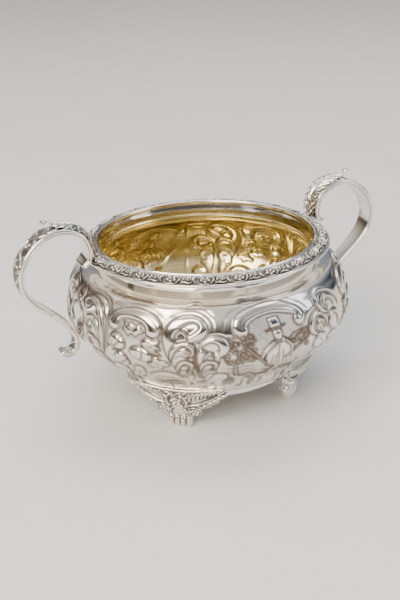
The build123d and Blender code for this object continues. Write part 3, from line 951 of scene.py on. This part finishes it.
def border_ornament(width, length):
    """One repeat of the border: a rose, a smaller rose and leaf scrolls between them. y runs outwards."""
    o = Ornament(width, length, CASTING_STEP, wraps=True)
    for x, y, petal, spread in ((4.4, 5.0, 1.35, 1.85), (13.1, 3.9, 1.05, 1.45)):
        flower(o, x, y, 5, petal, spread, 1.0, petal * 0.9, boss=(0.7, 1.2, 0.6), turn=0.3)
    for scroll, widths in (
        ([(7.0, 8.2), (8.6, 5.6), (8.4, 3.0), (6.9, 1.9), (6.2, 3.0)], [0.9, 1.7, 1.6, 1.3, 0.8]),
        ([(16.8, 7.6), (15.8, 5.4), (16.6, 2.8), (17.9, 1.8), (18.6, 3.0)], [0.9, 1.6, 1.5, 1.2, 0.8]),
        ([(9.2, 7.9), (11.4, 7.2), (13.4, 7.9), (15.2, 7.2)], [0.8, 1.7, 1.6, 0.8]),
        ([(9.4, 1.8), (10.6, 3.2), (10.4, 5.4), (9.6, 6.4)], [0.8, 1.6, 1.4, 0.7]),
        ([(1.2, 8.4), (3.0, 8.9), (5.2, 8.6), (6.8, 9.0)], [0.8, 1.6, 1.5, 0.8]),
        ([(0.6, 1.2), (2.4, 1.7), (4.4, 1.0)], [0.7, 1.5, 0.8]),
        ([(11.2, 0.9), (13.2, 1.3), (15.2, 0.8)], [0.7, 1.4, 0.7]),
    ):
        o.band(scroll, widths, 0.95)
    edge = ease(np.arange(o.rows) * o.step, 9.3, 10.0)[:, None]
    o.high = o.high * (1 - edge) + 1.15 * edge
    o.high = 1.25 * o.soften(o.high, CASTING_SOFT) - 1.5
    return o


def border_length():
    """The quarter of the border at the right, turned over the lip."""
    hem = LIP_OUT[1] - 0.5
    top_line = np.vstack([spline(BORDER_CROWN, start=(1, 0.8), end=(0.35, -1)), [(BORDER_OUT_R, hem)]])
    top_length = lengths(top_line)[-1]
    repeat = math.radians(90.0 / BORDER_FLOWERS) * BORDER_MIDDLE_R
    o = border_ornament(repeat, top_length)
    top = even(top_line, 60)
    ring = np.vstack([top, [(LIP_OUT[0] - 0.3, hem), LIP_OUT, (65.7, 93.6), (62.0, 95.1)]])
    under = len(ring) - len(top)
    far = np.concatenate([np.linspace(0, top_length, len(top)), np.zeros(under)])
    facing = np.vstack([square_to(directions(top, 1.0)), np.zeros((under, 2))])
    fade = ease(far, 0.0, 0.8) * (1 - ease(far, top_length - 1.6, top_length - 0.4))
    middle = ring.mean(0)
    columns = 520

    def form(u, v):
        row = np.round(v * len(ring)).astype(int) % len(ring)
        column = np.round(u * columns).astype(int)
        angle = (np.clip(column - 1, 0, columns - 2) / (columns - 2) - 0.5) * math.pi / 2
        rise = o.read(o.high, angle * BORDER_MIDDLE_R + 1000 * repeat, far[row]) * fade[row]
        point = ring[row] + facing[row] * rise[:, None]
        point = np.where(((column == 0) | (column == columns))[:, None], middle, point)
        solid = np.stack([point[:, 0] * np.cos(angle), point[:, 0] * np.sin(angle), point[:, 1]], axis=1)
        return {"points": solid, "tarnish": 0.95 * ease(-rise, 0.35, 1.15)}

    return worked("rim_border_right_cast", columns, len(ring), form)


finish_round(border_length(), "rim_border", ["right", "back", "left", "front"])


# ---------------------------------------------------------------- feet

def full_flower(o, x, y, reach, petals, rise, turn):
    """A flower whose petals just overlap and fill its reach."""
    share = math.sin(math.pi / petals)
    petal = reach * share / (1 + share) * 1.06
    boss = (0.3 * reach, 1.25 * rise, 0.8)
    flower(o, x, y, petals, petal, reach - petal, rise, 1.2, boss, turn)


def foot_ornament():
    """A rose in the middle, feathered leaves spread either side and two small rosettes over the paw."""
    o = Ornament(2 * FOOT_MIDDLE, 28.0, CASTING_STEP, wraps=False)

    def at(points, hand):
        return [(FOOT_MIDDLE + hand * t, z - FOOT_LOW) for t, z in points]

    for hand in (1, -1):
        for k in range(9):
            feather = [
                (5.2 + 2.3 * k, 18.0 + 0.85 * k), (6.0 + 2.4 * k, 21.6 + 0.75 * k),
                (8.6 + 2.4 * k, 25.2 + 0.55 * k),
            ]
            o.band(at(feather, hand), [0.8, 2.0, 1.0], 1.1, level=0.1, outline=0.9)
        for k in range(6):
            lobe = [
                (11.4 + 2.6 * k, 16.6 + 1.5 * k), (13.6 + 2.7 * k, 15.0 + 1.75 * k),
                (16.4 + 2.6 * k, 15.6 + 2.2 * k),
            ]
            o.band(at(lobe, hand), [1.2, 2.6, 1.0], 1.0, outline=0.9)
        for vein, widths, rise in (
            ([(4.6, 14.2), (7.6, 16.4), (12.0, 17.2), (17.6, 19.8), (23.0, 23.6), (27.4, 27.4)],
             [0.9, 1.6, 1.7, 1.5, 1.3, 0.9], 1.2),
            ([(0.0, 28.2), (10.0, 28.6), (20.0, 29.4), (28.6, 30.2)], [1.5, 1.5, 1.4, 1.2], 1.3),
            ([(4.2, 14.4), (5.6, 17.4), (5.2, 20.8), (3.2, 23.6)], [0.8, 1.5, 1.5, 0.8], 1.2),
            ([(0.4, 23.2), (1.8, 25.4), (4.6, 26.4)], [1.0, 1.8, 0.9], 1.1),
        ):
            o.band(at(vein, hand), widths, rise)
        volute = [
            (9.4 + r * math.cos(a), 10.6 + r * math.sin(a))
            for r, a in zip(np.linspace(3.9, 3.3, 14), np.linspace(2.6, -3.2, 14))
        ]
        o.band(at(volute, hand), [0.8, 1.0, 1.0, 0.9], 1.2, outline=0.6)
        rosette = at([(9.4, 10.6)], hand)[0]
        full_flower(o, *rosette, reach=2.7, petals=6, rise=1.2, turn=0.0)
        o.band(at([(1.6, 14.0), (3.6, 12.4), (4.9, 10.0), (5.0, 7.6)], hand), [0.7, 1.2, 1.2, 0.8], 1.0)
    rose = at([(0.0, 18.6)], 1)[0]
    full_flower(o, *rose, reach=3.7, petals=5, rise=1.6, turn=0.25)
    o.matting(at([(-3.6, 8.0), (3.6, 8.0), (2.6, 13.4), (-2.6, 13.4)], 1))
    o.high = 1.5 * o.soften(o.high, CASTING_SOFT) - 1.4
    return o


def foot_plate():
    """The leaf plate, curved round the bowl, thin where it laps the belly."""
    o = foot_ornament()
    front = spline(PLATE_FRONT)[::-1]
    under = belly[belly[:, 1] < 40.0][::-1]
    heights, halves = np.array(PLATE_EDGE).T
    columns, rows = 170, 96

    def front_radius(z):
        on_belly = np.interp(z, under[:, 1], under[:, 0]) + PLATE_PROUD
        return np.maximum(np.interp(z, front[:, 1], front[:, 0]), on_belly)

    def form(u, v):
        side, along, shown, at_foot, at_top = slab_places(u, v, columns, rows)
        z = PLATE_LOW + (PLATE_TOP - PLATE_LOW) * along
        lobes = 0.9 * np.abs(np.sin((z - 12.8) * 0.9)) * ease(z, 12.8, 14.4) * (1 - ease(z, 25, 27))
        t = side * (np.interp(z, heights, halves) + lobes)
        z = z + WING_RISE * np.abs(side) ** 1.5 * ease(z, 22, PLATE_TOP)
        thick = 2.1 + 0.6 * ease(z, 24, 28)
        rim = np.sqrt(np.clip(1 - np.abs(side) ** 12, 0, 1))
        rise = o.read(o.high, t + FOOT_MIDDLE, z - FOOT_LOW)
        radius = front_radius(z) + np.where(shown, (rise + 0.5) * rim - 0.5, -thick * rim)
        point = np.stack([np.sqrt(radius**2 - t**2), t, z], axis=1)
        for end, level in ((at_foot, PLATE_LOW), (at_top, PLATE_TOP - 1.2)):
            point[end] = (front_radius(level) - 0.9, 0.0, level)
        return {"points": point}

    return worked("foot_plate", columns, rows, form)


def foot_block(points, half):
    """A wedge-shaped block from its side outline (out, up), half its width either way."""
    bpy.ops.object.select_all(action="DESELECT")
    bpy.ops.mesh.primitive_circle_add(vertices=len(points), radius=0.01, fill_type="NGON")
    block = bpy.context.object
    for vertex, (out, up) in zip(block.data.vertices, points):
        vertex.co = (out * MM, -half * MM, up * MM)
    bpy.ops.object.mode_set(mode="EDIT")
    bpy.ops.mesh.select_all(action="SELECT")
    bpy.ops.mesh.extrude_region_move(TRANSFORM_OT_translate={"value": (0, 2 * half * MM, 0)})
    bpy.ops.mesh.select_all(action="SELECT")
    bpy.ops.mesh.normals_make_consistent(inside=False)
    bpy.ops.mesh.bevel(offset=0.8 * MM, segments=2)
    bpy.ops.object.mode_set(mode="OBJECT")
    return block


def toe(across):
    """One toe: a long rounded knuckle, set back a little at the sides of the paw and leaning inwards."""
    bpy.ops.object.select_all(action="DESELECT")
    bpy.ops.mesh.primitive_uv_sphere_add(segments=24, ring_count=16, radius=1.0)
    ball = bpy.context.object
    for vertex in ball.data.vertices:
        x, y, z = vertex.co
        out = TOE_AT[0] + TOE_SIZE[0] * x - 0.12 * abs(across)
        over = across * (1.0 + 0.05 * z) + TOE_SIZE[1] * y
        vertex.co = (out * MM, over * MM, (TOE_AT[1] + TOE_SIZE[2] * z) * MM)
    return ball


def cast_foot():
    """The front right foot as one casting, drawn pointing along X and then turned."""
    lumps = [foot_plate(), foot_block(WEB, WEB_HALF), foot_block(PAW, PAW_HALF)]
    lumps += [toe(across) for across in TOES]
    bpy.ops.object.select_all(action="DESELECT")
    for lump in lumps:
        lump.select_set(True)
    bpy.context.view_layer.objects.active = lumps[0]
    bpy.ops.object.join()
    casting = bpy.context.object
    casting.name = casting.data.name = "foot_front_right_cast"
    fuse = casting.modifiers.new("fuse", "REMESH")
    fuse.mode = "VOXEL"
    fuse.voxel_size = 0.3 * MM
    bpy.ops.object.modifier_apply(modifier="fuse")
    mesh = casting.data
    for vertex in mesh.vertices:
        vertex.co.z = max(vertex.co.z, 0.0)
    for field in ("tarnish", "matted"):
        if field not in mesh.attributes:
            mesh.attributes.new(field, "FLOAT", "POINT")
    tarnish_hollows(casting, 14, 0.11)
    bpy.ops.object.shade_smooth()
    mesh.transform(Matrix.Rotation(math.radians(-45.0), 4, "Z"))
    return casting


finish_round(cast_foot(), "foot", ["front_right", "back_right", "back_left", "front_left"])


# ---------------------------------------------------------------- handles

handle_line = even(spline(HANDLE_LINE), 400)
handle_far = lengths(handle_line)
handle_way = directions(handle_line, handle_far)
HANDLE_LENGTH = handle_far[-1]
STRAP_FACE = STRAP_T - HANDLE_T / 2         # where the strap meets the casting


def handle_ornament():
    """Running scrolls with leaves on both sides, dying away below the middle of the handle."""
    o = Ornament(SCROLL_W, HANDLE_LENGTH, CASTING_STEP, wraps=False)
    for k in range(10):
        down = 20.0 + SCROLL_PITCH * k
        hand = 1 if k % 2 else -1

        def turned(points):
            return [(SCROLL_W / 2 + hand * x, down + d) for x, d in points]

        o.place = turned
        o.band([(-4.6, -5.4), (-2.2, -1.6), (1.6, 0.6), (4.4, 3.2), (3.8, 6.6), (1.4, 7.0), (1.2, 4.8)],
            [0.8, 1.7, 2.1, 2.0, 1.7, 1.4, 0.8], 0.55)
        o.band([(-1.0, 0.6), (-3.6, 1.8), (-4.8, 4.4), (-3.2, 6.0)], [0.8, 1.9, 1.7, 0.8], 0.5)
        o.band([(1.8, -1.2), (4.2, -2.2), (5.2, 0.0)], [0.7, 1.6, 0.8], 0.45)
        o.pad([(-1.6, 4.6), (-0.4, 3.4), (0.6, 4.8), (-0.4, 6.2)], 0.5, soft=1.0)
    fade = 1 - ease((np.arange(o.rows) * o.step)[:, None], *SCROLLS_END)
    o.high = 1.3 * o.soften(o.high * fade, CASTING_SOFT) - 0.65 * fade
    return o


handle_relief = handle_ornament()


def handle_half(name, columns, rows, low, high, face):
    """One half of a handle between two offsets of its middle line. face shapes its shown side from
    the place across, -1 to 1, its half width and the ornament's relief there."""

    def form(u, v):
        side, along, shown, at_top, at_tail = slab_places(u, v, columns, rows)
        far = HANDLE_LENGTH * along
        point = follow(far, handle_far, handle_line)
        half = np.interp(point[:, 1], *np.array(HANDLE_FLANK).T)
        from_end = np.minimum(far, HANDLE_LENGTH - far) / 2.0
        end = np.sqrt(np.clip(1 - (1 - from_end).clip(0, 1) ** 2, 0.02, 1))
        relief = handle_relief.read(handle_relief.high, SCROLL_W / 2 + side * half, far)
        seam, skin = (low, high) if high > 0 else (high, low)
        offset = np.where(shown, seam + (skin + face(side, relief) - seam) * end, seam)
        place = point + offset[:, None] * square_to(follow(far, handle_far, handle_way))
        narrowed = half * (0.6 + 0.4 * end)
        solid = np.stack([place[:, 0], side * narrowed, place[:, 1]], axis=1)
        for tip, index in ((at_top, 0), (at_tail, -1)):
            out, up = handle_line[index] + seam * square_to(handle_way[index])
            solid[tip] = (out, 0.0, up)
        worn = handle_relief.read(handle_relief.high, SCROLL_W / 2 + side * narrowed, far) * (high > 0)
        return {"points": solid, "tarnish": 0.8 * ease(-worn, 0.22, 0.5) * shown * (np.abs(side) < 0.84)}

    return worked(name, columns, rows, form)


def outer_face(side, relief):
    """The crowned outer face with its scrolls, falling away to rounded edges."""
    edge = np.clip((np.abs(side) - 0.86) / 0.14, 0, 1)
    return -0.35 * side**2 - 1.1 * edge**2 + relief * (1 - ease(np.abs(side), 0.8, 0.9))


def inner_face(side, relief):
    """The shallow channel on the inside of the strap."""
    return 0.45 * (1 - side**2) + 0.25 * np.clip((np.abs(side) - 0.9) / 0.1, 0, 1) ** 2


def handle_leaf():
    """The acanthus leaf on top of a handle, with toothed edges, side veins and a turned-up tip."""
    line = even(spline(LEAF_TOP), 200)
    line_far = lengths(line)
    way = directions(line, line_far)
    length = line_far[-1]
    o = Ornament(LEAF_W + 2, length, CASTING_STEP, wraps=False)
    middle = o.columns * o.step / 2
    for k in reversed(range(9)):
        y = -2.0 + LEAFLET_PITCH * k
        for hand in (1, -1):
            leaflet = [(middle + hand * x, y + d) for x, d in ((0.5, 0), (2.2, 3.8), (4.8, 7.6), (7.6, 9.6))]
            o.band(leaflet, [1.6, 3.0, 2.4, 0.7], 1.0)
            o.cut(leaflet, depth=0.5)
    o.band([(middle, 0.0), (middle, length * 0.5), (middle, length - 1.5)], [1.8, 1.4, 0.8], 1.2)
    relief = o.soften(o.high, CASTING_SOFT) - 1.0
    columns, rows = 90, 150

    def form(u, v):
        side, along, shown, at_root, at_tip = slab_places(u, v, columns, rows)
        far = length * along
        teeth = 1 - 0.3 * np.mod(1 - (far + 1.0) / LEAFLET_PITCH, 1.0) ** 1.6
        half = LEAF_W / 2 * np.sqrt(ease(far, -4, 7)) * (1 - ease(far, length * 0.62, length + 4)) * teeth
        thick = 2.2 - 1.4 * ease(far, length * 0.6, length)
        droop = -1.1 * side**2
        lift = o.read(relief, middle + side * half, far)
        offset = np.where(shown, droop + lift, droop - thick * (1 - 0.8 * np.abs(side) ** 4))
        place = follow(far, line_far, line) + offset[:, None] * square_to(follow(far, line_far, way))
        solid = np.stack([place[:, 0], side * half, place[:, 1]], axis=1)
        for tip, index in ((at_root, 0), (at_tip, -1)):
            solid[tip] = (line[index][0], 0.0, line[index][1] - 0.6)
        return {"points": solid, "tarnish": 0.9 * ease(-lift, 0.3, 0.9) * shown}

    return worked("handle_right_leaf_cast", columns, rows, form)


outer = handle_half("handle_right_outer_cast", 96, 560, STRAP_FACE, HANDLE_T / 2, outer_face)
strap = handle_half("handle_right_strap_drawn", 40, 260, -HANDLE_T / 2, STRAP_FACE, inner_face)
leaf = handle_leaf()
for kind, piece, making in (("outer", outer, "cast"), ("strap", strap, "drawn"), ("leaf", leaf, "cast")):
    finish(piece, CAST_SILVER, f"handle_right_{kind}")
    finish(copied(piece, f"handle_left_{kind}_{making}", 180.0), CAST_SILVER, f"handle_left_{kind}")


# ---------------------------------------------------------------- base ring

base_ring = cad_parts["base_ring"]
base_ring.data.materials.clear()
base_ring.data.materials.append(SHEET_SILVER)


# ---------------------------------------------------------------- studio

MOTTLE = 60               # mm
MIDDLE_OF_BOWL = (0, 0, 0.06)   # m
CAMERA_DOWN = 23.44             # degrees
CAMERA_ROUND = 25.0
CAMERA_TILT = -0.0343           # radians
CAMERA_AT = (-225.2, -472.8, 282.3)
LENS = 58.8


def floor():
    """A plain pale table top."""
    bpy.ops.object.select_all(action="DESELECT")
    bpy.ops.mesh.primitive_plane_add(size=6.0)
    table = bpy.context.object
    table.name = "studio_floor"
    material, tree = new_material("pale_table")
    place = put(tree, "ShaderNodeTexCoord").outputs["Object"]
    mottle = put(tree, "ShaderNodeTexNoise", {"Vector": place, "Scale": per_metre(MOTTLE), "Detail": 4.0})
    colour = put(tree, "ShaderNodeMix", {
        0: mottle, 6: linear("#D9D8D6"), 7: linear("#E6E5E3"),
    }, data_type="RGBA")
    shader = put(tree, "ShaderNodeBsdfPrincipled", {"Base Color": colour.outputs[2], "Roughness": 0.6})
    put(tree, "ShaderNodeOutputMaterial", {"Surface": shader})
    table.data.materials.append(material)


def soft_light(name, place, width, height, power, colour):
    """A large soft box pointed at the bowl."""
    lamp = bpy.data.lights.new(name, "AREA")
    lamp.shape = "RECTANGLE"
    lamp.size, lamp.size_y = width, height
    lamp.energy = power
    lamp.color = linear(colour)[:3]
    box = bpy.data.objects.new(name, lamp)
    bpy.context.collection.objects.link(box)
    box.location = place
    box.rotation_euler = (Vector(MIDDLE_OF_BOWL) - Vector(place)).to_track_quat("-Z", "Y").to_euler()


def studio_walls():
    """Soft light from all round: pale above, darker low down, which draws the shape of the silver, warm on
    one side and cool on the other. The backdrop itself is plain and pale."""
    world = bpy.data.worlds.new("studio")
    bpy.context.scene.world = world
    world.use_nodes = True
    tree = world.node_tree
    tree.nodes.clear()
    way = put(tree, "ShaderNodeTexCoord").outputs["Generated"]
    parts = put(tree, "ShaderNodeSeparateXYZ", {0: way}).outputs
    sides = []
    for low, middle, high in (("#4A4038", "#A79C8E", "#FBF6EE"), ("#3F4650", "#8A96A8", "#EDF1F6")):
        ramp = put(tree, "ShaderNodeValToRGB", {"Fac": parts["Z"]})
        stops = ramp.color_ramp.elements
        stops[0].position, stops[0].color = 0.12, linear(low)
        stops[1].position, stops[1].color = 0.72, linear(high)
        stops.new(0.36).color = linear(middle)
        sides.append(ramp.outputs[0])
    turn = put(tree, "ShaderNodeMapRange", {0: parts["X"], 1: -0.5, 2: 0.5})
    colour = put(tree, "ShaderNodeMix", {0: turn, 6: sides[0], 7: sides[1]}, data_type="RGBA")
    walls = put(tree, "ShaderNodeBackground", {"Color": colour.outputs[2], "Strength": 1.0})
    backdrop = put(tree, "ShaderNodeBackground", {"Color": linear("#D4D6D9"), "Strength": 1.0})
    seen = put(tree, "ShaderNodeLightPath").outputs["Is Camera Ray"]
    room = put(tree, "ShaderNodeMixShader", {0: seen, 1: walls, 2: backdrop})
    put(tree, "ShaderNodeOutputWorld", {"Surface": room})


def camera():
    """The camera, at the height and angle of someone seated at the table."""
    down, around = math.radians(CAMERA_DOWN), math.radians(CAMERA_ROUND)
    back = Vector((-math.cos(down) * math.sin(around), -math.cos(down) * math.cos(around), math.sin(down)))
    level = Vector((math.cos(around), -math.sin(around), 0.0))
    right = math.cos(CAMERA_TILT) * level + math.sin(CAMERA_TILT) * back.cross(level)
    lens = bpy.data.cameras.new("camera")
    lens.lens = LENS
    lens.sensor_width = 36.0
    eye = bpy.data.objects.new("camera", lens)
    bpy.context.collection.objects.link(eye)
    turn = Matrix((right, back.cross(right), back)).transposed().to_4x4()
    eye.matrix_world = Matrix.Translation(Vector(CAMERA_AT) * MM) @ turn
    bpy.context.scene.camera = eye


floor()
studio_walls()
soft_light("window", (-1.1, -0.7, 1.0), 1.2, 1.0, 40, "#FFF6EA")
soft_light("overhead", (0.3, 0.5, 1.5), 1.6, 1.0, 16, "#FFFFFF")
soft_light("fill", (1.2, -0.9, 0.7), 0.8, 1.0, 7, "#EAF0FF")
camera()
